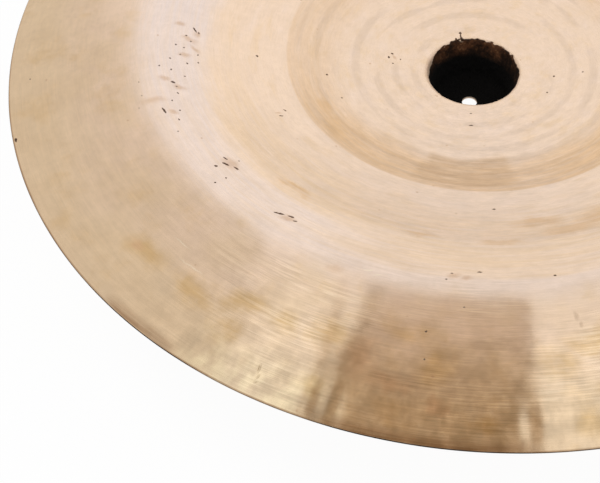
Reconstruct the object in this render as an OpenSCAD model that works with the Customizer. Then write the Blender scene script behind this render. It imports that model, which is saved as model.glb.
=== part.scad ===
// China cymbal: one plate of bronze, drawn as the zones that its smith works one after the other.
// It lies with its hollow side up. The origin is the centre of the hole, on the crown's outer face.

/* [Plate] */
// Diameter over the rim
rim_d = 559; // [500:1:620]
// Thickness of the metal in the bell
bell_t = 1.8; // [1.2:0.1:2.6]
// Thickness of the metal at the rim
rim_t = 0.9; // [0.6:0.1:1.4]

/* [Bell] */
// Diameter of the hole that takes the stand's rod
hole_d = 9.5; // [8:0.5:14]
// Depth of the hollow inside the bell, below its mouth
bell_depth = 27; // [20:0.5:36]
// Diameter at which the bell's lip has turned into the bow
mouth_d = 60; // [52:1:80]
// Slope of the bell's wall, from level, in degrees
wall_angle = 74; // [65:1:84]
// Inside radius of the corner between the crown and the wall
shoulder_r = 8; // [5:1:11]
// Radius of the lip, on the hollow side
lip_r = 3; // [2:0.5:8]

/* [Bow] */
// Slope of the bow where it leaves the bell, in degrees
bow_inner_angle = 9; // [4:0.5:14]
// Slope of the bow where the bend begins, in degrees
bow_outer_angle = 23; // [17:0.5:30]
// Diameter at which the inner, rippled lathing stops
step_d = 230; // [190:1:270]
// Width of one turned ripple on the inner bow, from crest to crest
ripple_pitch = 11.5; // [8:0.5:16]
// Depth of the turned ripples
ripple_depth = 0.25; // [0.1:0.05:0.5]

/* [Bend and flange] */
// Diameter at which the bow starts to turn over
bend_start_d = 322; // [300:1:345]
// Diameter at which the flange begins
bend_end_d = 408; // [380:1:440]
// Fall of the flange where it leaves the bend, in degrees
flange_inner_angle = 7; // [3:0.5:14]
// Fall of the flange at the rim, in degrees
flange_outer_angle = 11; // [5:0.5:20]

/* [Hidden] */
$fn = 180;

// Straight pieces that stand for a small arc, for a long arc and for one ripple
arc_steps = 10;
long_arc_steps = 18;
ripple_steps = 8;

hole_r = hole_d / 2;
mouth_r = mouth_d / 2;
step_r = step_d / 2;
bend_start_r = bend_start_d / 2;
bend_end_r = bend_end_d / 2;

// The section is followed along its hollow face, outwards from the hole.
// A station on it is [radius, height, heading], with the heading in degrees from level.

// An arc that turns upwards from station s to heading end
function upward_arc(s, end, radius, steps) = [
    for (i = [0 : steps])
        let (a = s[2] + (end - s[2]) * i / steps)
            [s[0] + radius * (sin(a) - sin(s[2])), s[1] + radius * (cos(s[2]) - cos(a)), a]
];

// An arc that turns downwards from station s to heading end
function downward_arc(s, end, radius, steps) = [
    for (i = [0 : steps])
        let (a = s[2] + (end - s[2]) * i / steps)
            [s[0] + radius * (sin(s[2]) - sin(a)), s[1] + radius * (cos(a) - cos(s[2])), a]
];

function last(list) = list[len(list) - 1];

// Bell: crown, shoulder, wall and lip, worked out so that the lip ends at the mouth's diameter
shoulder_rise = shoulder_r * (1 - cos(wall_angle));
lip_rise = lip_r * (cos(bow_inner_angle) - cos(wall_angle));
wall_rise = bell_depth - shoulder_rise - lip_rise;
wall_run = wall_rise / tan(wall_angle);
shoulder_run = shoulder_r * sin(wall_angle);
lip_run = lip_r * (sin(wall_angle) - sin(bow_inner_angle));
crown_r = mouth_r - lip_run - wall_run - shoulder_run;

shoulder = upward_arc([crown_r, bell_t, 0], wall_angle, shoulder_r, arc_steps);
wall_top = [crown_r + shoulder_run + wall_run, bell_t + shoulder_rise + wall_rise, wall_angle];
lip = downward_arc(wall_top, bow_inner_angle, lip_r, arc_steps);
bell_line = concat([[hole_r, bell_t, 0]], shoulder, lip);

// Bow: one arc from the mouth to the bend, shared out at the step
bow_r = (bend_start_r - mouth_r) / (sin(bow_outer_angle) - sin(bow_inner_angle));
step_angle = asin(sin(bow_inner_angle) + (step_r - mouth_r) / bow_r);
ripples = round((step_r - mouth_r) / ripple_pitch);
inner_bow_line = upward_arc(last(bell_line), step_angle, bow_r, ripples * ripple_steps);
outer_bow_line = upward_arc(last(inner_bow_line), bow_outer_angle, bow_r, long_arc_steps);

// Bend and flange: two arcs that turn over and fall to the rim
bend_r = (bend_end_r - bend_start_r) / (sin(bow_outer_angle) + sin(flange_inner_angle));
bend_line = downward_arc(last(outer_bow_line), -flange_inner_angle, bend_r, long_arc_steps);
flange_end_r = rim_d / 2 - rim_t / 2 * (1 - sin(flange_outer_angle));
flange_fall = flange_outer_angle - flange_inner_angle;
flange_line = [
    for (i = [0 : long_arc_steps])
        let (share = i / long_arc_steps, run = flange_end_r - bend_end_r)
        let (a = flange_inner_angle + flange_fall * share / 2)
            [
                bend_end_r + run * share,
                last(bend_line)[1] - run * share * tan(a),
                -(flange_inner_angle + flange_fall * share)
            ]
];

// Thickness of the metal, even in the bell and thinning steadily to the rim
function metal_t(r) =
    let (share = (r - mouth_r) / (flange_end_r - mouth_r))
        bell_t + (rim_t - bell_t) * min(1, max(0, share));

// The point at station s, on the hollow face
function front(s) = [s[0], s[1]];

// The point on the back of the plate behind station s
function back(s) = [s[0] + metal_t(s[0]) * sin(s[2]), s[1] - metal_t(s[0]) * cos(s[2])];

// The point at station s of a line, sunk by a given depth into the hollow face
function sunk(s, depth) = [s[0] + depth * sin(s[2]), s[1] - depth * cos(s[2])];

// The half round at the rim, from the hollow face to the back
function rim_round(s) = [
    for (i = [1 : arc_steps - 1])
        let (a = s[2] + 90 - 180 * i / arc_steps, c = sunk(s, rim_t / 2))
            [c[0] + rim_t / 2 * cos(a), c[1] + rim_t / 2 * sin(a)]
];

// The fronts of a line's stations, outwards, and their backs, inwards again
function fronts(line) = [for (s = line) front(s)];
function backs(line) = [for (i = [len(line) - 1 : -1 : 0]) back(line[i])];

// A zone of the plate: its hollow face, an end and the backs of its line, turned about the axis
module zone(face, line, end = []) {
    rotate_extrude()
        polygon(concat(face, end, backs(line)));
}

module bell() {
    color("#4a3528")
        zone(fronts(bell_line), bell_line);
}

// Ripples start and stop at no depth, so the zone meets its neighbours
module inner_bow() {
    face = [
        for (i = [0 : len(inner_bow_line) - 1])
            sunk(inner_bow_line[i], ripple_depth / 2 * (1 - cos(360 * i / ripple_steps)))
    ];
    color("#e3c3a4")
        zone(face, inner_bow_line);
}

module outer_bow() {
    color("#e6c29a")
        zone(fronts(outer_bow_line), outer_bow_line);
}

module bend() {
    color("#e4cdbf")
        zone(fronts(bend_line), bend_line);
}

module flange() {
    color("#c8a884")
        zone(fronts(flange_line), flange_line, rim_round(last(flange_line)));
}

bell();
inner_bow();
outer_bow();
bend();
flange();
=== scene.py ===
import bpy
import numpy as np
from mathutils import Matrix, Vector


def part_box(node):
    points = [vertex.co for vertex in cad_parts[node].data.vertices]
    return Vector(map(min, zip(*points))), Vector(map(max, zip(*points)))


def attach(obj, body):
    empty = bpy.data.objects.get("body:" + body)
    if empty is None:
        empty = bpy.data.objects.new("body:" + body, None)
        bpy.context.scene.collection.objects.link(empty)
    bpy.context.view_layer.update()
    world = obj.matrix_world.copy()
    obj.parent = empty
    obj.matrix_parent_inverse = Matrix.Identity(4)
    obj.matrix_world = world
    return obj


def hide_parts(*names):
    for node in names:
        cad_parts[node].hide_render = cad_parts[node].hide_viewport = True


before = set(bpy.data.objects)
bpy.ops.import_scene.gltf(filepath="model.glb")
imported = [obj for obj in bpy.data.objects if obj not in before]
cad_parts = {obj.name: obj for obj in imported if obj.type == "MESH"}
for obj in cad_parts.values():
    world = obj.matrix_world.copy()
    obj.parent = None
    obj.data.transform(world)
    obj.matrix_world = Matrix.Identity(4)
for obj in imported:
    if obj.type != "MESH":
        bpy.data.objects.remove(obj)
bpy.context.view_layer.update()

MM = 0.001

# The plate's section, the same as the solids follow, in millimetres and degrees
HOLE_R = 4.75
BELL_T = 1.8
RIM_T = 0.9
RIM_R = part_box("flange")[1].x / MM
BELL_DEPTH = 27
MOUTH_R = 30
WALL_SLOPE = 74
SHOULDER_R = 8
LIP_R = 3
BOW_SLOPE = 9
BOW_END_SLOPE = 23
STEP_R = 115
RIPPLES = 7
RIPPLE_DEPTH = 0.25
BEND_START_R = 161
BEND_END_R = 204
FLANGE_SLOPE = 7
RIM_SLOPE = 11

# Steps from station to station along each stretch of the section, and round the rim's half round
STEPS = {
    "crown": 12, "shoulder": 14, "wall": 20, "lip": 14, "inner_bow": 66, "outer_bow": 26, "bend": 28,
    "flange": 40, "rim": 10,
}

# Radius on the lip at which the scale inside the bell gives way to turned metal
EDGE_R = 28.4

# Columns of every mesh round the axis, so that neighbouring zones share their seams
COLUMNS = 1080

theta = np.linspace(0, 2 * np.pi, COLUMNS, endpoint=False)


def sine(degrees):
    return np.sin(np.radians(degrees))


def cosine(degrees):
    return np.cos(np.radians(degrees))


def arc(start, end_slope, radius, steps):
    """Stations on an arc: the slope changes evenly from the start's to end_slope, and radius and height
    follow it as the arc's radius times the change of the slope's sine and cosine."""
    r, z, slope = start
    slopes = np.linspace(slope, end_slope, steps + 1)
    turn = np.sign(end_slope - slope) * radius
    run = turn * (sine(slopes) - sine(slope))
    rise = turn * (cosine(slope) - cosine(slopes))
    return np.stack([r + run, z + rise, slopes], 1)


def straight(start, length, steps):
    """Stations on a straight stretch that keeps the start's slope."""
    r, z, slope = start
    run = np.linspace(0, length, steps + 1)
    return np.stack([r + run * cosine(slope), z + run * sine(slope), np.full(steps + 1, float(slope))], 1)


def join(*lines):
    """Lines laid end to end, with the station that two of them share kept once."""
    return np.concatenate([lines[0]] + [line[1:] for line in lines[1:]])


def section():
    """The hollow face of each zone as rows of radius, height and slope, in millimetres and degrees."""
    shoulder_rise = SHOULDER_R * (1 - cosine(WALL_SLOPE))
    lip_rise = LIP_R * (cosine(BOW_SLOPE) - cosine(WALL_SLOPE))
    lip_run = LIP_R * (sine(WALL_SLOPE) - sine(BOW_SLOPE))
    wall_rise = BELL_DEPTH - shoulder_rise - lip_rise
    wall_run = wall_rise / np.tan(np.radians(WALL_SLOPE))
    crown_r = MOUTH_R - lip_run - wall_run - SHOULDER_R * sine(WALL_SLOPE)
    crown = straight((HOLE_R, BELL_T, 0), crown_r - HOLE_R, STEPS["crown"])
    shoulder = arc(crown[-1], WALL_SLOPE, SHOULDER_R, STEPS["shoulder"])
    wall = straight(shoulder[-1], np.hypot(wall_rise, wall_run), STEPS["wall"])
    bell = join(crown, shoulder, wall, arc(wall[-1], BOW_SLOPE, LIP_R, STEPS["lip"]))

    bow_r = (BEND_START_R - MOUTH_R) / (sine(BOW_END_SLOPE) - sine(BOW_SLOPE))
    step_slope = np.degrees(np.arcsin(sine(BOW_SLOPE) + (STEP_R - MOUTH_R) / bow_r))
    inner_bow = arc(bell[-1], step_slope, bow_r, STEPS["inner_bow"])
    outer_bow = arc(inner_bow[-1], BOW_END_SLOPE, bow_r, STEPS["outer_bow"])

    bend_r = (BEND_END_R - BEND_START_R) / (sine(BOW_END_SLOPE) + sine(FLANGE_SLOPE))
    bend = arc(outer_bow[-1], -FLANGE_SLOPE, bend_r, STEPS["bend"])

    run = (RIM_R - RIM_T / 2 * (1 - sine(RIM_SLOPE)) - BEND_END_R) * np.linspace(0, 1, STEPS["flange"] + 1)
    fall = FLANGE_SLOPE + (RIM_SLOPE - FLANGE_SLOPE) * run / run[-1]
    drop = run * np.tan(np.radians((FLANGE_SLOPE + fall) / 2))
    flange = np.stack([BEND_END_R + run, bend[-1][1] - drop, -fall], 1)
    return {"bell": bell, "inner_bow": inner_bow, "outer_bow": outer_bow, "bend": bend, "flange": flange}


def metal_t(r):
    """Thickness in millimetres: the bell's, thinning evenly with the radius from the mouth to the rim."""
    return np.interp(r, [MOUTH_R, RIM_R], [BELL_T, RIM_T])


# Relief of the hollow face, in millimetres along the section's normal

# Hammer blows, ring by ring: seed, how many, the ring's radii, half length radially, half width and depth
BLOWS = [
    (1, 300, (206, 281), 18, 9, 0.08),
    (2, 260, (256, 283), 11, 4, 0.035),
    (3, 170, (163, 204), 8, 8, 0.10),
    (4, 220, (50, 160), 10, 10, 0.05),
]

# A blow is left out beyond this many times its half length
BLOW_REACH = 3.5

# Folds of the flange that show in the photograph: radius, angle, half length radially, half width and depth
FOLDS = [
    (269.0, -111.2, 9.0, 3.2, 0.15), (268.5, -109.2, 9.0, 2.2, 0.06), (267.0, -89.9, 8.0, 3.4, 0.10),
    (216.0, -82.4, 6.0, 3.2, 0.06), (266.0, -118.0, 7.0, 2.6, 0.06),
]

# Slow waves of the rim: how many round the axis and phase, then their swing, and the level that keeps the
# highest crest just under the section
RIM_WAVES = [(3, 0.4), (5, 2.1), (8, 4.0)]
WAVE_SWING = 0.22
WAVE_LEVEL = 1.05


def blows(r, seed, count, ring, along, across, depth):
    """Hammer blows scattered over a ring: a sum of bell-shaped dents, each the exponential of minus half
    the squared distance from its middle, measured in along radially and in across round the axis."""
    draw = np.random.default_rng(seed)
    middles = np.sqrt(draw.uniform(ring[0] ** 2, ring[1] ** 2, count))
    turns = draw.uniform(-np.pi, np.pi, count)
    sizes = draw.uniform(0.7, 1.3, count)
    depths = depth * draw.uniform(0.4, 1.0, count)
    total = np.zeros((len(r), COLUMNS))
    for middle, turn, size, deep in zip(middles, turns, sizes, depths):
        near = np.abs(r - middle) < BLOW_REACH * along * size
        if near.any():
            total[near] += dent(r[near], middle, np.degrees(turn), along * size, across * size, deep)
    return total


def dent(r, radius, degrees, along, across, depth):
    """One dent or fold: minus its depth times the exponential of minus half the squared distance."""
    wide = ((theta - np.radians(degrees) + np.pi) % (2 * np.pi) - np.pi) * radius / across
    tall = (r - radius) / along
    return -depth * np.exp(-(tall[:, None] ** 2 + wide[None, :] ** 2) / 2)


def lattice(across, along, seed, cells_round, cell):
    """Smooth noise from -1 to 1: random values at the corners of a lattice, cells_round of them round the
    axis and one every cell millimetres along the section, blended by the smooth step of the place between
    them."""
    draw = np.random.default_rng(seed)
    values = draw.uniform(-1, 1, (int(along.max() / cell) + 3, cells_round))
    u = across / (2 * np.pi) * cells_round
    v = along / cell
    i = np.floor(u).astype(int)
    k = np.floor(v).astype(int)
    fu = step(u - i, 0, 1)
    fv = step(v - k, 0, 1)[:, None]
    left, right = i % cells_round, (i + 1) % cells_round
    low = values[k][:, left] * (1 - fu) + values[k][:, right] * fu
    high = values[k + 1][:, left] * (1 - fu) + values[k + 1][:, right] * fu
    return low * (1 - fv) + high * fv


def step(value, low, high):
    """The smooth step from 0 at low to 1 at high."""
    share = np.clip((value - low) / (high - low), 0, 1)
    return share ** 2 * (3 - 2 * share)


def lobe(degrees, half):
    """1 at an angle round the axis, falling smoothly to 0 a little beyond half degrees on either side of
    it."""
    apart = np.abs((theta - np.radians(degrees) + np.pi) % (2 * np.pi) - np.pi)
    return 1 - step(apart, np.radians(half) * 0.6, np.radians(half) * 1.2)


def hammering(r):
    """Every dent that runs through the plate, so that the back shows it too. None rises above the
    section."""
    total = sum(blows(r, *ring) for ring in BLOWS) + sum(dent(r, *fold) for fold in FOLDS)
    waves = sum(np.cos(count * theta + phase) for count, phase in RIM_WAVES) / len(RIM_WAVES)
    lean = step(r, 150, RIM_R)[:, None]
    return total * step(r, 34, 44)[:, None] + lean * WAVE_SWING * (waves - WAVE_LEVEL)[None, :]


def turned_ripples(r):
    """Turned ripples of the inner bow: one cosine for each pitch, deeper and shallower round the axis, and
    none at either end of the zone."""
    inside = (r > MOUTH_R) & (r < STEP_R)
    share = (r - MOUTH_R) / (STEP_R - MOUTH_R)
    wave = (1 - np.cos(2 * np.pi * RIPPLES * share)) / 2 * inside
    depth = 0.65 + 0.35 * lattice(theta, r, 11, 9, 14)
    return -RIPPLE_DEPTH * wave[:, None] * depth


def scale_relief(r, z):
    """Crust inside the bell, with the jagged border where the turning stopped. On the far side the border
    is raggeder and lies higher, and on the left it lies lower. Returns the crust's height in millimetres
    and its cover, from 1 on the scale to 0 on the turned metal."""
    run = np.concatenate([[0], np.cumsum(np.hypot(np.diff(r), np.diff(z)))])
    lip = np.interp(EDGE_R, r, run) + (0.9 * lobe(88, 70) - 4.5 * lobe(180, 38))[None, :]
    ragged = (0.35 + 0.65 * step(np.sin(theta), -0.4, 0.6))[None, :]
    border = 1.2 * lattice(theta, run, 21, 40, 2.6) + 0.8 * lattice(theta, run, 22, 96, 1.1)
    cover = 1 - step(run[:, None] + ragged * border, lip - 0.3, lip + 0.3)
    crust = 0.30 * lattice(theta, run, 23, 46, 3.2) + 0.18 * lattice(theta, run, 24, 130, 1.3)
    inner = step(r, 6, 9)[:, None]
    return cover * inner * (crust - 0.15), cover


def rim_darkening():
    """Share of the dark crust material on the rim's half round, darkening the edge: even, denser at two
    stretches, and a little mottled.
    """
    mottled = lattice(theta, np.zeros(1), 31, 60, 1)[0]
    return np.clip(0.62 + 0.38 * lobe(-132, 8) + 0.5 * lobe(-99, 12) + 0.15 * mottled, 0, 1)


# Meshes


def surface(line, relief):
    """Points of a face: the section turned about the axis, moved by the relief along the section's
    normal."""
    r, z, slope = line[:, 0:1], line[:, 1:2], line[:, 2:3]
    radius = r - relief * sine(slope)
    height = z + relief * cosine(slope)
    return np.stack([radius * np.cos(theta), radius * np.sin(theta), height], 2) * MM


def with_normals(points, side):
    """A grid of points and its unit normals: the cross product of its two central differences, times
    side."""
    outwards = np.gradient(points, axis=0)
    onwards = np.roll(points, -1, axis=1) - np.roll(points, 1, axis=1)
    normals = np.cross(outwards, onwards) * side
    return points, normals / np.linalg.norm(normals, axis=2, keepdims=True)


def lay(line, zone):
    """A zone's stations laid at the end of a line, where it shares the last one, and the rows that it
    fills."""
    shared = min(len(line), 1)
    first = len(line) - shared
    return np.concatenate([line, zone[shared:]]), slice(first, first + len(zone))


def shell():
    """The hollow face and the back of the whole plate as grids of points and normals, the hollow face's
    cover of scale, and the rows of each zone in both. The back has every second station, or every third of
    the inner bow's, because it has no ripples."""
    rows = {}
    front_line = back_line = np.empty((0, 3))
    for name, zone in section().items():
        front_line, front_rows = lay(front_line, zone)
        back_line, back_rows = lay(back_line, zone[:: 3 if name == "inner_bow" else 2])
        rows[name] = (front_rows, back_rows)
    front_r, front_z = front_line[:, 0], front_line[:, 1]
    back_r = back_line[:, 0]
    crust, cover = scale_relief(front_r, front_z)
    front = surface(front_line, hammering(front_r) + turned_ripples(front_r) + crust)
    back = surface(back_line, hammering(back_r) - metal_t(back_r)[:, None])
    return rows, with_normals(front, 1), with_normals(back, -1), cover


def half_round(top, bottom):
    """Points and normals between the last row of the hollow face and that of the back: the middle of the
    two, and half their distance turned from 90 to -90 degrees towards the outward direction square to
    it."""
    middle = (top + bottom) / 2
    across = (top - bottom) / 2
    depth = np.linalg.norm(across, axis=1, keepdims=True)
    outward = np.stack([np.cos(theta), np.sin(theta), 0 * theta], 1)
    outward -= across * (outward * across).sum(1, keepdims=True) / depth ** 2
    outward /= np.linalg.norm(outward, axis=1, keepdims=True)
    turn = np.linspace(90, -90, STEPS["rim"] + 1)[1:-1, None, None]
    edge = across * sine(turn) + outward * depth * cosine(turn)
    return middle + edge, edge / np.linalg.norm(edge, axis=2, keepdims=True)


def ring_mesh(name, points, normals, cover, walls):
    """A closed mesh of rows of points, each joined to the next, and the last to the first. Its corners have
    the given normals, but those of the walls, the faces that follow the given rows, have their own."""
    count = len(points)
    i = np.arange(count)[:, None]
    j = np.arange(COLUMNS)[None, :]
    i2 = (i + 1) % count
    j2 = (j + 1) % COLUMNS
    corners = np.stack(
        [i * COLUMNS + j, i2 * COLUMNS + j, i2 * COLUMNS + j2, i * COLUMNS + j2], 2
    ).reshape(-1, 4)
    mesh = bpy.data.meshes.new(name)
    mesh.vertices.add(count * COLUMNS)
    mesh.vertices.foreach_set("co", points.reshape(-1).astype(np.float32))
    mesh.loops.add(corners.size)
    mesh.loops.foreach_set("vertex_index", corners.reshape(-1).astype(np.int32))
    mesh.polygons.add(len(corners))
    mesh.polygons.foreach_set("loop_start", np.arange(0, corners.size, 4, dtype=np.int32))
    mesh.update(calc_edges=True)
    mesh.shade_smooth()
    corner_normals = normals.reshape(-1, 3)[corners]
    corner_points = points.reshape(-1, 3)[corners]
    for row in walls:
        wall = slice(row * COLUMNS, (row + 1) * COLUMNS)
        a, b, c, d = corner_points[wall].transpose(1, 0, 2)
        flat = np.cross(c - a, d - b)
        corner_normals[wall] = (flat / np.linalg.norm(flat, axis=1, keepdims=True))[:, None, :]
    mesh.normals_split_custom_set(corner_normals.reshape(-1, 3))
    layer = mesh.attributes.new("scale_cover", "FLOAT", "POINT")
    layer.data.foreach_set("value", cover.reshape(-1).astype(np.float32))
    return mesh


def build_zone(name, rows, front, back, cover):
    """A zone as a closed ring: the rows of the hollow face outwards, the rim's half round where there is
    one, and the rows of the back inwards. Neighbouring zones share the normals of their seam."""
    front_rows, back_rows = rows[name]
    top, top_normals = (grid[front_rows] for grid in front)
    bottom, bottom_normals = (grid[back_rows][::-1] for grid in back)
    parts = [(top, top_normals, cover[front_rows])]
    walls = [len(top) - 1]
    if name == "flange":
        edge, edge_normals = half_round(top[-1], bottom[0])
        parts.append((edge, edge_normals, np.tile(rim_darkening(), (len(edge), 1))))
        walls = []
    parts.append((bottom, bottom_normals, np.zeros(bottom.shape[:2])))
    points, normals, scale = (np.concatenate(grids) for grids in zip(*parts))
    walls.append(len(points) - 1)
    mesh = ring_mesh(name, points, normals, scale, walls)
    piece = bpy.data.objects.new(name + "_bronze", mesh)
    bpy.context.scene.collection.objects.link(piece)
    return piece


# Materials


def linear(red, green, blue):
    """A colour from its linear red, green and blue."""
    return (red, green, blue, 1.0)


LATHED = linear(0.875, 0.668, 0.505)
LATHED_WARM = linear(0.85, 0.62, 0.41)
LATHED_TAN = linear(0.74, 0.485, 0.27)
LATHED_BLUSH = linear(0.89, 0.695, 0.56)
BAND_BROWN = linear(0.60, 0.39, 0.215)
# Painted sheen where the bend's curve catches the light
BEND_PAINTED_SHEEN = linear(0.82, 0.68, 0.61)
FLANGE_SATIN = linear(0.80, 0.60, 0.447)
FLANGE_STRAW = linear(0.79, 0.60, 0.41)
FLANGE_OLIVE = linear(0.745, 0.555, 0.365)
FLANGE_GOLD = linear(0.70, 0.475, 0.24)
FLANGE_CREAM = linear(0.93, 0.79, 0.60)
FLANGE_COPPER = linear(0.73, 0.47, 0.285)
# Brown near the rim: a painted dark reflection where the rim rolls down, and a thin line along the near edge
RIM_BROWN = linear(0.36, 0.21, 0.115)
# Painted highlight where the softbox's reflection falls near the rim
RIM_PAINTED_HIGHLIGHT = linear(0.93, 0.80, 0.52)
CREASE_SHADE_BROWN = linear(0.30, 0.20, 0.13)
HALO_BROWN = linear(0.58, 0.37, 0.23)
PIT_BROWN = linear(0.085, 0.042, 0.024)
# Lit and shaded copies of the scale: painted shade near black deep in the bell, painted light brown high on
# the far wall
SCALE_SHADED_BLACK = linear(0.0022, 0.0017, 0.0014)
SCALE_LIT_BROWN = linear(0.085, 0.033, 0.014)
SCALE_RUST = linear(0.2, 0.095, 0.042)

# Radii in millimetres between which the finishes of the rings pass into each other
BAND_START = (78, 98)
BAND_END = (113.6, 115.4)
DARK_START = (74, 86)
DARK_END = (108.5, 111.5)
WARM_START = (128, 150)
# Where the painted sheen of the bend begins
SHEEN_START = (154, 171)
NARROW_START = (188, 194)
SATIN_START = (190, 213)
STRAW_START = (215, 268)
LINED_START = (188, 216)
HIGHLIGHT_START = (250, 276)
STRIP_START = (269, 274)
BROWN_START = (271.5, 278.5)
EDGE_START = (278.2, 278.9)

# Relief of the finish, in metres
LINE_HEIGHT = 0.000005
HAIR_HEIGHT = 0.000003
STREAK_HEIGHT = 0.000008
CREASE_DEPTH = 0.0001
PIT_DEPTH = 0.00006
CRUMB_HEIGHT = 0.0007

# Slashes and pits of scale that show in the photograph: radius and angle of the middle, half length and
# half width, in millimetres and degrees, and the turn from the direction round the axis
MARKS = [
    (183.0, -171.5, 0.89, 0.62, 60), (166.8, -172.7, 0.69, 0.52, 0), (168.3, 180.0, 2.64, 0.65, 30),
    (165.9, -179.3, 0.98, 0.52, 20), (183.4, -168.5, 0.79, 0.62, 0), (184.0, -165.2, 1.8, 0.78, 50),
    (182.8, -164.0, 0.69, 0.42, 50), (194.3, -159.0, 3.24, 0.65, 10), (186.0, -158.0, 0.79, 0.62, 0),
    (188.9, -156.0, 0.98, 0.42, 20), (192.7, -153.5, 0.59, 0.42, 0), (187.9, -160.8, 0.59, 0.52, 0),
    (174.4, -174.5, 0.69, 0.52, 90), (173.2, -178.0, 0.79, 0.52, 90), (180.1, -144.0, 1.92, 0.52, 15),
    (187.6, -143.4, 1.32, 0.78, 40), (175.0, -142.3, 0.59, 0.52, 0), (179.7, -141.0, 2.16, 0.65, 12),
    (182.4, -142.8, 2.64, 0.78, 25), (194.7, -140.6, 0.79, 0.52, 50), (188.5, -140.2, 0.69, 0.52, 0),
    (186.2, -128.6, 3.84, 0.52, 20), (184.2, -126.7, 2.4, 0.59, 12), (185.5, -125.6, 1.44, 0.52, 20),
    (190.2, -83.9, 0.89, 0.62, 0), (189.0, -99.2, 0.89, 0.31, 0), (193.0, -99.9, 0.69, 0.42, 0),
    (186.8, -95.0, 1.44, 0.39, 0), (52.4, 168.9, 1.08, 0.91, 40), (51.0, 164.6, 1.2, 0.65, 90),
    (49.4, 173.9, 0.84, 0.39, 90), (91.1, -171.7, 0.84, 0.78, 0), (87.6, -158.5, 0.72, 0.65, 0),
    (49.3, -96.5, 1.68, 0.52, 0), (48.4, -28.6, 0.72, 0.65, 0), (49.4, -11.6, 0.84, 0.78, 0),
    (132.2, -176.1, 0.96, 0.91, 0), (126.5, -155.3, 1.44, 0.52, 30), (130.8, -153.4, 1.44, 0.52, 80),
    (131.7, -91.0, 1.08, 0.65, 0), (277.6, -163.7, 1.92, 0.91, 0), (266.3, -173.2, 0.6, 0.52, 0),
    (31.8, 98.8, 4.32, 0.59, 84), (34.2, 98.3, 1.2, 1.17, 80), (29.4, 105.5, 2.28, 0.91, 80),
    (45.2, 168.0, 0.6, 0.52, 0), (37.5, -97.0, 0.84, 0.52, 0), (66.0, -9.0, 0.6, 0.52, 0),
    (179.0, -175.2, 0.9, 0.64, 30), (173.6, -170.0, 0.82, 0.64, 0), (167.2, -170.4, 0.74, 0.56, 0),
    (189.7, -169.8, 0.57, 0.48, 0), (183.3, -162.3, 0.98, 0.56, 30), (203.0, -166.8, 0.49, 0.4, 0),
    (203.3, -163.7, 0.49, 0.4, 0), (206.8, -161.3, 0.49, 0.4, 0), (207.9, -97.1, 0.57, 0.48, 0),
    (223.0, -101.6, 0.9, 0.5, 60), (237.5, -101.3, 0.6, 0.5, 0), (176.5, -166.5, 0.74, 0.48, 60),
    (170.5, -176.5, 0.82, 0.48, 40), (177.0, -172.5, 0.66, 0.4, 90),
]

# Creases of the hammered flange, sunk in the relief and darkened brown as painted shade, in the same form
CREASES = [
    (264.8, -118.25, 3.8, 0.8, 100), (268.8, -117.95, 2.8, 0.8, 76), (271.6, -117.9, 1.6, 0.9, 40),
    (213.8, -82.6, 3.6, 1.6, 96), (218.5, -82.2, 3.0, 1.5, 84),
]

# Brown halos of old scale on the bend, in the same form
HALOS = [
    (181.5, -163.8, 5.5, 3.2, 60), (180.0, -142.5, 8.0, 5.0, 15), (189.5, -158.0, 4.5, 2.4, 50),
    (186.0, -127.0, 7.0, 2.8, 15), (167.5, -179.0, 4.5, 3.0, 0), (131.5, -154.5, 3.5, 1.6, 60),
    (202.0, -116.0, 7.0, 5.0, 0), (49.0, 168.0, 2.5, 1.6, 40), (31.5, -138.0, 2.2, 1.6, 0),
    (188.5, -166.5, 5.0, 3.0, 40), (199.0, -162.0, 12.0, 4.0, 80), (174.5, -172.5, 6.0, 3.0, 70),
    (191.0, -99.0, 5.0, 2.5, 0), (192.0, -97.0, 4.0, 2.0, 0), (171.5, -177.0, 7.0, 3.0, 60),
    (168.0, -174.5, 6.0, 2.5, 40), (177.5, 179.0, 5.0, 3.0, 80),
]

# Pale scratches, in the same form
SCRATCHES = [
    (196.7, -111.2, 4.0, 0.8, 12), (198.3, -109.7, 3.0, 0.7, 20), (237.6, -132.7, 11.0, 0.6, 2),
    (231.0, -136.0, 9.0, 0.5, 0),
]

# Golden stains of the flange, in the same form
STAINS = [
    (247.0, -138.5, 24.0, 10.0, 4), (249.0, -130.5, 18.0, 11.0, 0), (238.0, -123.8, 20.0, 8.5, 8),
    (237.5, -118.5, 12.0, 9.0, 0), (254.0, -123.5, 10.0, 12.0, 0), (236.0, -113.0, 17.0, 14.0, 0),
    (225.0, -103.0, 20.0, 11.0, 0), (266.5, -104.4, 18.0, 9.0, 0), (240.5, -99.8, 13.0, 13.0, 0),
    (238.0, -85.6, 17.0, 12.0, 0), (228.0, -81.5, 22.0, 10.0, 0), (266.5, -94.4, 12.0, 8.0, 0),
    (252.0, -80.0, 16.0, 10.0, 0), (262.0, -112.5, 8.0, 8.0, 0), (268.0, -84.0, 12.0, 9.0, 0),
    (222.0, -76.5, 18.0, 7.0, 0), (262.0, -75.0, 20.0, 8.0, 0),
]

# Tan patches of the bow, in the same form
BOW_TANS = [
    (147.3, -82.3, 20.0, 7.0, 0), (158.0, -77.0, 24.0, 9.0, 0), (152.5, -71.0, 16.0, 12.0, 0),
    (165.5, -131.0, 15.0, 4.0, 4), (104.9, -146.0, 20.0, 8.0, 0), (101.8, -155.0, 10.0, 8.0, 0),
    (163.5, -105.5, 12.0, 4.0, 0), (164.0, -91.0, 16.0, 3.5, 0),
]

# Coppery patches of the flange, in the same form
BLUSHES = [
    (243.5, -108.6, 13.0, 13.0, 0), (251.0, -105.0, 20.0, 7.0, 0), (247.0, -140.0, 8.0, 4.0, 0),
    (259.0, -99.5, 9.0, 7.0, 0),
]


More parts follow.
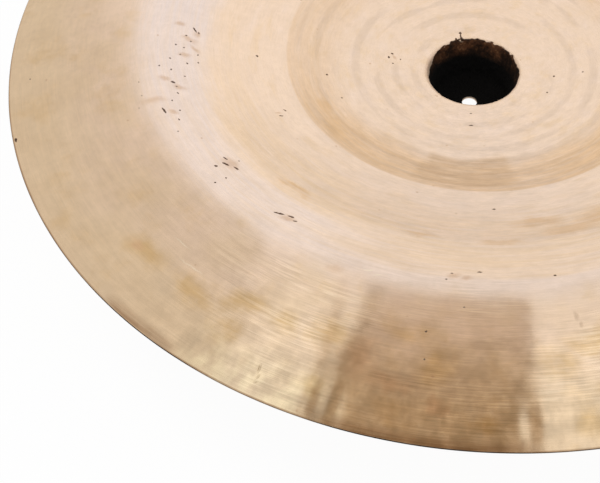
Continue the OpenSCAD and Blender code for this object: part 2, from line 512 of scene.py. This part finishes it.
class Graph:
    """Adds nodes to one node tree and hands back their outputs."""

    def __init__(self, tree):
        self.tree = tree

    def add(self, kind, inputs=(), output=0, **settings):
        node = self.tree.nodes.new(kind)
        for key, value in settings.items():
            setattr(node, key, value)
        for key, value in dict(inputs).items():
            if isinstance(value, bpy.types.NodeSocket):
                self.tree.links.new(value, node.inputs[key])
            else:
                node.inputs[key].default_value = value
        return node.outputs[output]

    def math(self, operation, a, b=0.0, clamp=False):
        return self.add("ShaderNodeMath", {0: a, 1: b}, operation=operation, use_clamp=clamp)

    def times(self, first, *others):
        """The product of two or more shares."""
        for other in others:
            first = self.math("MULTIPLY", first, other)
        return first

    def vector(self, operation, a, b=(0, 0, 0), output=0):
        return self.add("ShaderNodeVectorMath", {0: a, 1: b}, output, operation=operation)

    def scaled(self, a, size):
        return self.add("ShaderNodeVectorMath", {0: a, "Scale": size}, operation="SCALE")

    def mix(self, share, a, b):
        """Colour a where share is 0 and colour b where it is 1."""
        return self.add("ShaderNodeMix", {0: share, 6: a, 7: b}, 2, data_type="RGBA", clamp_factor=True)

    def step(self, value, low, high, start=0.0, end=1.0):
        """Smooth step from start where value is low to end where it is high."""
        inputs = {0: value, 1: low, 2: high, 3: start, 4: end}
        return self.add("ShaderNodeMapRange", inputs, interpolation_type="SMOOTHSTEP")

    def ease(self, share, start, end):
        """Smooth step from start where share is 0 to end where it is 1."""
        return self.step(share, 0.0, 1.0, start, end)

    def noise(self, place, scale, detail=2.0, roughness=0.5):
        inputs = {"Vector": place, "Scale": scale, "Detail": detail, "Roughness": roughness}
        return self.add("ShaderNodeTexNoise", inputs)


class PlateGraph(Graph):
    """A graph that knows the place on the plate: flat, the place seen along the axis in metres, radius in
    millimetres, way, the unit direction from the axis, hollow, 1 on the hollow face and 0 on the back, and
    the noises and sectors that several finishes share."""

    def __init__(self, tree):
        super().__init__(tree)
        texture = tree.nodes.new("ShaderNodeTexCoord")
        self.flat = self.vector("MULTIPLY", texture.outputs["Object"], (1, 1, 0))
        self.radius = self.math("DIVIDE", self.vector("LENGTH", self.flat, output=1), MM)
        self.way = self.vector("NORMALIZE", self.flat)
        up = self.add("ShaderNodeSeparateXYZ", {0: texture.outputs["Normal"]}, 2)
        self.hollow = self.step(up, -0.05, 0.05)

        self.broad = self.noise(self.flat, 14.0, 3.0)
        self.mottle = self.noise(self.flat, 45.0, 4.0, 0.6)
        self.blotch = self.noise(self.vector("ADD", self.flat, (3.0, 1.0, 0)), 28.0, 3.0, 0.55)
        self.dapple = self.noise(self.vector("ADD", self.flat, (1.0, 5.0, 0)), 85.0, 2.0, 0.55)
        self.fine = self.noise(self.flat, 260.0, 3.0, 0.6)

        self.patches = self.streaks(4.6, 0.13, 3.0, 0.6)
        self.band_streaks = self.streaks(3.2, 0.42, 4.0, 0.68)
        # Drawn-out noise for the painted light and shade of the hammer ripples near the rim
        self.hammer_shading = self.streaks(24.0, 0.05, 3.0, 0.6)
        self.lines = self.streaks(11.0, 1.05, 1.5, 0.5)
        self.hairs = self.streaks(16.0, 2.5, 1.0, 0.6)
        self.line_patches = self.streaks(4.0, 0.045, 2.0, 0.5)

        self.uneven = self.shifted(self.mottle, 14.0)
        self.near_side = self.sector(-95.0, 60.0, 45.0)
        self.close = self.sector(-93.0, 20.0, 13.0)
        far_side = self.times(self.sector(70.0, 50.0, 30.0), 0.6)
        lined = self.math("MAXIMUM", self.sector(-95.0, 30.0, 17.0), far_side)
        self.lined = self.times(lined, self.step(self.radius, *LINED_START, 0.3, 1.0))

    def streaks(self, cells_round, per_mm, detail=2.0, roughness=0.5):
        """Noise drawn out round the axis: its place is cells_round times the unit direction, at a height of
        per_mm times the radius."""
        run = self.add("ShaderNodeCombineXYZ", {2: self.times(self.radius, per_mm)})
        place = self.vector("ADD", self.scaled(self.way, cells_round), run)
        return self.noise(place, 1.0, detail, roughness)

    def sector(self, degrees, half, soft):
        """1 within half degrees of a direction and 0 beyond, over a soft border in degrees."""
        toward = self.vector("DOT_PRODUCT", self.way, (cosine(degrees), sine(degrees), 0), output=1)
        return self.step(toward, cosine(half + soft), cosine(max(half - soft, 0)))

    def shifted(self, noise, reach):
        """The radius moved up to half of reach either way by a noise."""
        moved = self.add("ShaderNodeMath", {0: noise, 1: reach, 2: -reach / 2}, operation="MULTIPLY_ADD")
        return self.math("ADD", self.radius, moved)

    def wander(self, scale, reach):
        """The place moved up to half of reach either way by a noise, for ragged borders; both in metres."""
        bend = self.add("ShaderNodeTexNoise", {"Vector": self.flat, "Scale": scale, "Detail": 3.0}, 1)
        bend = self.vector("SUBTRACT", bend, (0.5, 0.5, 0.5))
        return self.vector("ADD", self.flat, self.vector("MULTIPLY", bend, (reach, reach, 0)))

    def swing(self, noise, share, low, high):
        """A shade round 1 that follows a noise, with a swing that grows from low to high with share."""
        centred = self.math("SUBTRACT", self.step(noise, 0.28, 0.72), 0.5)
        return self.math("ADD", self.times(centred, self.ease(share, low, high)), 1.0)

    def spots(self, marks, scale, reach):
        """Largest of the marks' covers, 1 in the middle of a mark and 0 at its border, on the wandering
        place."""
        place = self.wander(scale, reach)
        total = None
        for radius, degrees, half_long, half_wide, turn in marks:
            local = self.add("ShaderNodeMapping", {
                "Vector": place,
                "Location": (radius * MM * cosine(degrees), radius * MM * sine(degrees), 0),
                "Rotation": (0, 0, np.radians(degrees + 90 + turn)),
                "Scale": (half_long * MM, half_wide * MM, 1),
            }, vector_type="TEXTURE")
            cover = self.add("ShaderNodeTexGradient", {"Vector": local}, 1, gradient_type="SPHERICAL")
            total = cover if total is None else self.math("MAXIMUM", total, cover)
        return total


def bow(g):
    """Light, in paler and warmer patches, with a tan streaky band inside the step that has a darker
    stretch, a warm ring before the bend and tan patches. Returns the colour and the cover of the band."""
    wobbly = g.shifted(g.broad, 30.0)
    colour = g.mix(g.step(g.patches, 0.5, 0.72, 0.0, 0.55), LATHED, LATHED_WARM)
    colour = g.mix(g.step(g.patches, 0.3, 0.48, 0.5, 0.0), colour, LATHED_BLUSH)

    band = g.times(
        g.step(wobbly, *BAND_START), g.step(g.radius, *BAND_END, 1.0, 0.0), g.ease(g.near_side, 0.35, 0.82)
    )
    dark = g.times(
        g.step(wobbly, *DARK_START),
        g.step(g.shifted(g.mottle, 4.0), *DARK_END, 1.0, 0.0),
        g.step(g.math("ADD", g.sector(-98.0, 13.0, 8.0), g.mottle), 0.7, 1.5),
    )
    band = g.math("ADD", band, g.times(dark, 0.4), True)
    colour = g.mix(g.times(band, g.step(g.band_streaks, 0.34, 0.62, 0.65, 1.0)), colour, LATHED_TAN)
    brown = g.times(g.step(g.band_streaks, 0.36, 0.6, 0.3, 1.0), g.ease(dark, 0.0, 0.75))
    colour = g.mix(brown, colour, BAND_BROWN)

    warm = g.times(
        g.step(wobbly, *WARM_START), g.step(g.band_streaks, 0.34, 0.66, 0.2, 1.0),
        g.ease(g.near_side, 0.15, 0.9),
    )
    colour = g.mix(warm, colour, LATHED_WARM)
    tans = g.times(
        g.step(g.spots(BOW_TANS, 70.0, 0.014), 0.0, 0.8, 0.0, 0.85), g.hollow,
        g.step(g.band_streaks, 0.34, 0.6, 0.5, 1.0),
    )
    return g.mix(tans, colour, LATHED_TAN), band


def bend(g, colour):
    """Pale with a painted sheen of the bend's curve, with soft and ragged borders, less so and from further
    out on the near side, in a narrow ring where it is closest, and with brown halos of old scale."""
    inner_border = g.math("ADD", g.uneven, g.ease(g.near_side, 3.0, -10.0))
    # The painted sheen of the bend, weaker on the near side and narrow where the bend is closest
    pale = g.times(
        g.step(inner_border, *SHEEN_START), g.ease(g.near_side, 1.0, 0.75),
        g.step(g.band_streaks, 0.35, 0.65, 1.0, 0.7), g.math("SUBTRACT", 1.0, g.close),
    )
    narrow = g.times(g.step(g.shifted(g.mottle, 4.0), *NARROW_START, 0.12, 0.65), g.close)
    colour = g.mix(g.math("ADD", pale, narrow), colour, BEND_PAINTED_SHEEN)
    halos = g.times(g.step(g.spots(HALOS, 130.0, 0.006), 0.0, 0.9, 0.0, 0.55), g.hollow)
    return g.mix(halos, colour, HALO_BROWN)


def flange(g, colour):
    """Satin, straw towards the rim, mottled in olive and gold, with golden stains, coppery patches, cream
    lathe lines, creases darkened with painted shade and pale scratches. Returns the colour and the cover of
    the creases."""
    satin = g.mix(g.step(g.shifted(g.broad, 60.0), *STRAW_START), FLANGE_SATIN, FLANGE_STRAW)
    satin = g.mix(g.step(g.blotch, 0.4, 0.66, 0.0, 0.55), satin, FLANGE_OLIVE)
    satin = g.mix(g.step(g.mottle, 0.5, 0.75, 0.0, 0.4), satin, FLANGE_GOLD)

    stains = g.times(
        g.step(g.spots(STAINS, 60.0, 0.016), 0.0, 0.85, 0.0, 0.85), g.step(g.mottle, 0.36, 0.54, 0.4, 1.0),
        g.step(g.times(g.lines, g.lined), 0.2, 0.62, 1.0, 0.7),
    )
    satin = g.mix(stains, satin, FLANGE_GOLD)
    blushes = g.step(g.spots(BLUSHES, 110.0, 0.014), 0.0, 0.9, 0.0, 0.6)
    satin = g.mix(blushes, satin, FLANGE_COPPER)
    cream = g.times(
        g.step(g.lines, 0.46, 0.66, 0.0, 0.2), g.step(g.line_patches, 0.42, 0.6, 0.15, 1.0), g.lined
    )
    satin = g.mix(cream, satin, FLANGE_CREAM)
    colour = g.mix(g.step(g.uneven, *SATIN_START), colour, satin)

    creases = g.step(g.spots(CREASES, 200.0, 0.002), 0.0, 0.9, 0.0, 0.34)
    # Painted shade in the creases
    colour = g.mix(g.times(creases, g.hollow), colour, CREASE_SHADE_BROWN)
    scratches = g.step(g.spots(SCRATCHES, 300.0, 0.002), 0.0, 0.8, 0.0, 0.6)
    return g.mix(g.times(scratches, g.hollow), colour, FLANGE_CREAM), creases


def rim(g, colour):
    """A painted highlight in straw colour, or a painted dark reflection in brown, for some degrees just
    inside the edge, and a thin brown line along the near edge."""
    # Painted highlight in the softbox's reflection just inside the rim
    painted_highlight = g.times(g.step(g.shifted(g.mottle, 24.0), *HIGHLIGHT_START), g.sector(-117.5, 6.5, 5.0))
    strip = g.times(g.step(g.shifted(g.mottle, 6.0), *STRIP_START), g.sector(-119.0, 7.5, 1.5))
    painted_highlight = g.times(g.math("MAXIMUM", painted_highlight, strip), g.step(g.dapple, 0.35, 0.6, 0.1, 0.45))
    colour = g.mix(painted_highlight, colour, RIM_PAINTED_HIGHLIGHT)
    # Painted dark reflection where the rim rolls down
    dark_reflection = g.math("MAXIMUM", g.sector(-132.2, 4.4, 1.4), g.sector(-101.0, 10.0, 4.0))
    dark_reflection = g.times(g.step(g.shifted(g.mottle, 3.0), *BROWN_START), dark_reflection)
    edge = g.times(g.step(g.radius, *EDGE_START, 0.0, 0.95), g.sector(-125.0, 50.0, 20.0))
    brown = g.times(g.math("MAXIMUM", dark_reflection, edge), g.step(g.lines, 0.3, 0.6, 0.45, 0.8))
    return g.mix(brown, colour, RIM_BROWN)


def shaded(g, colour, band):
    """The colour times the shades of turned lines and hairs, the band's streaks, mottling, and three painted
    shades: light and shade of the hammer ripples near the rim, a darker near side of the bend, and darkening
    at the bottom of each turned ripple."""
    uneven_lines = g.times(g.lined, g.step(g.line_patches, 0.4, 0.6, 0.25, 1.0))
    # Painted shade on the near side of the bend
    near_bend_shade = g.times(g.close, g.step(g.radius, 158, 176), g.step(g.radius, 196, 212, 1.0, 0.0))
    pitch = (STEP_R - MOUTH_R) / RIPPLES
    waves = g.math("COSINE", g.times(g.math("SUBTRACT", g.radius, MOUTH_R), 2 * np.pi / pitch))
    # Painted shade at the bottom of each turned ripple
    valleys = g.times(
        g.step(waves, -1.0, 0.4, 1.0, 0.0), g.step(g.radius, STEP_R - 10, STEP_R, 1.0, 0.0),
        g.step(g.streaks(1.8, 0.09, 2.0), 0.4, 0.62),
    )
    shade = g.times(
        g.swing(g.lines, uneven_lines, 0.02, 0.145),
        g.swing(g.hairs, uneven_lines, 0.04, 0.14),
        g.swing(g.lines, band, 0.0, 0.08),
        g.swing(g.band_streaks, band, 0.0, 0.07),
        g.swing(g.hammer_shading, g.times(g.step(g.radius, 236, 268), g.lined), 0.0, 0.25),
        g.swing(g.dapple, g.times(g.step(g.radius, 205, 240), g.lined), 0.035, 0.22),
        g.swing(g.fine, 1.0, 0.0, 0.04),
        g.swing(g.streaks(7.0, 0.22, 3.0, 0.65), g.near_side, 0.02, 0.09),
        g.step(g.radius, 108, 122, 0.975, 1.01),
        g.ease(near_bend_shade, 1.0, 0.93),
        g.ease(valleys, 1.0, 0.91),
    )
    return g.scaled(colour, shade)


def scale_marks(g, colour):
    """A scatter of faint specks, pits and slashes of scale, and on the back a mottled darker brown ring
    round the bell's foot. Returns the colour and the cover of the pits."""
    cells = g.add("ShaderNodeTexVoronoi", {"Vector": g.wander(500.0, 0.001), "Scale": 95.0})
    chosen = g.step(g.add("ShaderNodeSeparateXYZ", {0: cells.node.outputs["Color"]}), 0.74, 0.78)
    colour = g.mix(g.times(g.step(cells, 0.03, 0.085, 0.55, 0.0), chosen), colour, HALO_BROWN)
    pits = g.times(g.step(g.spots(MARKS, 900.0, 0.0011), 0.05, 0.36), g.hollow)
    colour = g.mix(g.times(pits, 0.94), colour, PIT_BROWN)
    foot = g.times(
        g.step(g.radius, 22, 27), g.step(g.shifted(g.mottle, 10.0), 31, 36, 1.0, 0.0),
        g.ease(g.hollow, 1.0, 0.0), g.step(g.fine, 0.35, 0.6, 0.3, 0.9),
    )
    return g.mix(foot, colour, PIT_BROWN), pits


def plate_finish():
    """The group that finishes both faces of the plate from the place alone: colour, roughness and height in
    metres. Every zone's material uses it, so nothing changes at a seam."""
    tree = bpy.data.node_groups.new("plate finish", "ShaderNodeTree")
    kinds = {"Colour": "NodeSocketColor", "Roughness": "NodeSocketFloat", "Height": "NodeSocketFloat"}
    for name, kind in kinds.items():
        tree.interface.new_socket(name, in_out="OUTPUT", socket_type=kind)
    g = PlateGraph(tree)
    colour, band = bow(g)
    colour = bend(g, colour)
    colour, creases = flange(g, colour)
    colour = rim(g, colour)
    colour, pits = scale_marks(g, shaded(g, colour, band))

    lip = g.step(g.radius, 29.3, 31.0, 0.45, 0.0)
    roughness = g.math("MAXIMUM", g.step(g.dapple, 0.3, 0.7, 0.125, 0.165), lip)
    height = g.times(g.lines, g.lined, LINE_HEIGHT)
    for cover, rise in (
        (g.hairs, HAIR_HEIGHT), (g.band_streaks, STREAK_HEIGHT), (creases, -CREASE_DEPTH), (pits, -PIT_DEPTH)
    ):
        height = g.math("ADD", height, g.times(cover, rise))

    output = tree.nodes.new("NodeGroupOutput")
    for name, socket in (("Colour", colour), ("Roughness", roughness), ("Height", height)):
        tree.links.new(socket, output.inputs[name])
    return tree


def bronze(name, finish):
    """Turned bronze: the plate's finish on a metal whose gloss is drawn out across the turned lines, with
    the dark skin of scale wherever the mesh says that some is left. The scale is painted near black as shade
    low down and on the near side, and painted lit brown high on the far wall."""
    material = bpy.data.materials[name]
    material.use_nodes = True
    tree = material.node_tree
    tree.nodes.clear()
    g = Graph(tree)
    group = tree.nodes.new("ShaderNodeGroup")
    group.node_tree = finish
    bump = g.add("ShaderNodeBump", {"Height": group.outputs["Height"], "Distance": 1.0, "Strength": 1.0})
    metal = g.add("ShaderNodeBsdfPrincipled", {
        "Base Color": group.outputs["Colour"], "Roughness": group.outputs["Roughness"], "Normal": bump,
        "Metallic": 1.0, "Anisotropic": 0.88, "Anisotropic Rotation": 0.25,
        "Tangent": g.add("ShaderNodeTangent", direction_type="RADIAL", axis="Z"),
    })
    place = tree.nodes.new("ShaderNodeTexCoord").outputs["Object"]
    height = g.add("ShaderNodeSeparateXYZ", {0: place}, 2)
    crumbs = g.noise(place, 420.0, 4.0, 0.65)
    patches = g.noise(place, 120.0, 3.0, 0.6)
    far_side = g.vector("DOT_PRODUCT", g.vector("NORMALIZE", place), (0.03, 0.999, 0), output=1)
    # Painted light on the scale: brown high up and on the far wall, near black as painted shade lower down,
    # with rusty crumbs only where lit
    lit = g.times(
        g.step(height, 0.0165, 0.0245), g.step(far_side, 0.1, 0.72, 0.22, 1.0),
        g.step(patches, 0.4, 0.6, 0.2, 1.0),
    )
    brown = g.mix(lit, SCALE_SHADED_BLACK, SCALE_LIT_BROWN)
    brown = g.mix(g.times(lit, g.step(crumbs, 0.5, 0.7)), brown, SCALE_RUST)
    relief = g.add("ShaderNodeBump", {"Height": g.times(crumbs, CRUMB_HEIGHT), "Distance": 1.0})
    crust = g.add("ShaderNodeBsdfPrincipled", {
        "Base Color": brown, "Normal": relief, "Roughness": 0.85, "Specular IOR Level": 0.12,
    })
    cover = g.add("ShaderNodeAttribute", output=2, attribute_name="scale_cover")
    skin = g.add("ShaderNodeMixShader", {0: cover, 1: metal, 2: crust})
    tree.links.new(skin, tree.nodes.new("ShaderNodeOutputMaterial").inputs["Surface"])
    return material


# Studio, in metres

CAMERA_AT = Vector((-0.0874, -0.5343, 0.5504))
CAMERA_FORWARD = Vector((-0.02978, 0.61193, -0.79035)).normalized()
CAMERA_RIGHT = Vector((0.99929, 0.0, -0.03765)).normalized()
CAMERA_LENS = 71.35
CAMERA_SENSOR = 36

FLOOR_SIDE = 4.0

# Share of plain white in the floor, for the camera and for gloss. The rest keeps the plate's shadow
FLOOR_WHITE = 0.95

WHITE = linear(1.0, 1.0, 1.0)
PAPER = linear(0.9, 0.9, 0.9)

# Where the cards' colours pass from the near one to the far one
NEAR_Y = -0.16
FAR_Y = 0.28

# Borders of the window as the flange shows them, the left one towards the camera and the right one away
LEFT_BORDER = [
    (-0.09, 0.284), (-0.116, 0.237), (-0.138, 0.20), (-0.159, 0.159), (-0.17, 0.118), (-0.187, 0.079),
    (-0.212, 0.04), (-0.244, 0.004), (-0.255, -0.05),
]
RIGHT_BORDER = [
    (0.192, -0.043), (0.19, -0.005), (0.198, 0.033), (0.205, 0.072), (0.214, 0.113), (0.215, 0.154),
]

# Level cards over the plate: name, height, corners, far colour and, where it differs, near colour
CARDS = [
    ("softbox", 1.6, [(-0.75, -1.0), (1.0, -1.0), (1.0, 0.5), (-0.4, 0.5)], linear(1.0, 1.0, 0.98), None),
    ("window", 1.2, [
        (-0.262, -0.32), (0.20, -0.32), (0.197, -0.10), *RIGHT_BORDER, (0.212, 0.265), (0.08, 0.292),
        *LEFT_BORDER,
    ], linear(0.745, 0.67, 0.60), linear(0.39, 0.282, 0.168)),
    ("window_left", 1.19, [
        (-0.065, 0.275), *LEFT_BORDER, (-0.20, -0.05), (-0.17, 0.02), (-0.13, 0.10), (-0.10, 0.18),
    ], linear(0.53, 0.455, 0.375), linear(0.30, 0.21, 0.118)),
    ("window_right", 1.19, [
        *RIGHT_BORDER, (0.212, 0.25), (0.18, 0.25), (0.182, 0.12), (0.165, 0.04), (0.158, -0.05),
        (0.165, -0.12), (0.197, -0.12),
    ], linear(0.63, 0.56, 0.49), linear(0.335, 0.238, 0.138)),
    ("window_side", 1.21, [
        (-0.196, 0.262), (-0.226, 0.27), (-0.238, 0.20), (-0.256, 0.121), (-0.276, 0.082), (-0.288, 0.044),
        (-0.297, 0.006), (-0.295, -0.05), (-0.24, -0.05), (-0.22, 0.0), (-0.225, 0.06), (-0.222, 0.10),
        (-0.212, 0.16), (-0.204, 0.21),
    ], linear(0.74, 0.68, 0.60), linear(0.50, 0.40, 0.28)),
    ("left_flag", 1.2, [
        (-0.35, 0.25), (-0.365, 0.36), (-0.36, 0.50), (-0.44, 0.58), (-0.60, 0.73), (-0.72, 0.96),
        (-0.82, 1.33), (-1.4, 2.6), (-3.0, 2.6), (-3.0, -0.3), (-0.60, -0.3), (-0.50, -0.05),
        (-0.46, 0.05), (-0.43, 0.10), (-0.38, 0.20),
    ], linear(0.8, 0.775, 0.74), None),
]


def place_camera():
    """The photograph's view: its right, its up and its back direction are the columns of the camera's
    turn."""
    data = bpy.data.cameras.new("camera")
    data.sensor_fit = "HORIZONTAL"
    data.sensor_width = CAMERA_SENSOR
    data.lens = CAMERA_LENS
    data.clip_start = 0.01
    camera = bpy.data.objects.new("camera", data)
    up = CAMERA_RIGHT.cross(CAMERA_FORWARD)
    turn = Matrix((CAMERA_RIGHT, up, -CAMERA_FORWARD)).transposed().to_4x4()
    camera.matrix_world = Matrix.Translation(CAMERA_AT) @ turn
    bpy.context.scene.collection.objects.link(camera)
    bpy.context.scene.camera = camera


def panel(name, height, corners):
    """A level sheet with a material of its own. Returns the sheet and the material's node tree."""
    mesh = bpy.data.meshes.new(name)
    mesh.from_pydata([(x, y, height) for x, y in corners], [], [range(len(corners))])
    sheet = bpy.data.objects.new(name, mesh)
    bpy.context.scene.collection.objects.link(sheet)
    material = bpy.data.materials.new(name)
    material.use_nodes = True
    mesh.materials.append(material)
    return sheet, material.node_tree


def seen(g):
    """1 for rays from the camera, and for those that a gloss or a clear body sends on."""
    path = g.tree.nodes.new("ShaderNodeLightPath").outputs
    shown = g.math("MAXIMUM", path["Is Camera Ray"], path["Is Glossy Ray"])
    return g.math("MAXIMUM", shown, path["Is Transmission Ray"])


def build_card(name, height, corners, colour, near_colour):
    """A level studio card that only gloss sees. Its colour may pass into another towards the camera."""
    sheet, tree = panel(name, height, corners)
    tree.nodes.remove(tree.nodes["Principled BSDF"])
    g = Graph(tree)
    if near_colour:
        place = tree.nodes.new("ShaderNodeTexCoord").outputs["Object"]
        away = g.add("ShaderNodeSeparateXYZ", {0: place}, 1)
        colour = g.mix(g.step(away, NEAR_Y, FAR_Y), near_colour, colour)
    glow = g.add("ShaderNodeEmission", {"Color": colour, "Strength": 1.0})
    tree.links.new(glow, tree.nodes["Material Output"].inputs["Surface"])
    sheet.visible_camera = False
    sheet.visible_diffuse = False
    sheet.visible_transmission = False
    sheet.visible_shadow = False


def build_floor():
    """A pale floor that keeps a faint shadow."""
    side = FLOOR_SIDE
    tree = panel("floor", 0, [(-side, -side), (side, -side), (side, side), (-side, side)])[1]
    g = Graph(tree)
    paper = tree.nodes["Principled BSDF"]
    paper.inputs["Base Color"].default_value = PAPER
    paper.inputs["Roughness"].default_value = 0.9
    white = g.add("ShaderNodeEmission", {"Color": WHITE, "Strength": 1.0})
    share = g.times(seen(g), FLOOR_WHITE)
    blend = g.add("ShaderNodeMixShader", {0: share, 1: paper.outputs["BSDF"], 2: white})
    tree.links.new(blend, tree.nodes["Material Output"].inputs["Surface"])


def build_world():
    """White for the camera and for gloss, a little dimmer towards the horizon in gloss, and soft grey
    light."""
    world = bpy.data.worlds.new("studio")
    bpy.context.scene.world = world
    world.use_nodes = True
    tree = world.node_tree
    g = Graph(tree)
    direction = tree.nodes.new("ShaderNodeTexCoord").outputs["Generated"]
    height = g.add("ShaderNodeSeparateXYZ", {0: direction}, 2)
    gloss = tree.nodes.new("ShaderNodeLightPath").outputs["Is Glossy Ray"]
    dim = g.times(g.step(height, 0.04, 0.45, 0.2, 0.0), gloss)
    strength = g.math("SUBTRACT", g.ease(seen(g), 0.75, 1.0), dim)
    background = tree.nodes["Background"]
    background.inputs["Color"].default_value = WHITE
    tree.links.new(strength, background.inputs["Strength"])


def soft_lamp(name, at, size, power):
    """A soft square lamp that faces the plate and lights only what scatters light."""
    data = bpy.data.lights.new(name, "AREA")
    data.shape = "SQUARE"
    data.size = size
    data.energy = power
    lamp = bpy.data.objects.new(name, data)
    lamp.location = at
    lamp.rotation_euler = (-Vector(at)).to_track_quat("-Z", "Y").to_euler()
    lamp.visible_camera = False
    lamp.visible_glossy = False
    bpy.context.scene.collection.objects.link(lamp)


def build_studio():
    place_camera()
    build_floor()
    build_world()
    soft_lamp("key", (-1.2, 0.6, 1.8), 1.0, 14)
    for card in CARDS:
        build_card(*card)
    bpy.context.scene.view_settings.view_transform = "Standard"


build_studio()
rows, front, back, cover = shell()
finish = plate_finish()
materials = {
    "bell": bronze("raw_bronze", finish),
    "inner_bow": bronze("lathed_bronze", finish),
    "bend": bronze("bend_bronze", finish),
    "flange": bronze("flange_bronze", finish),
}
materials["outer_bow"] = materials["inner_bow"]
for name in rows:
    piece = build_zone(name, rows, front, back, cover)
    piece.data.materials.append(materials[name])
    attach(piece, "root")
    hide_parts(name)
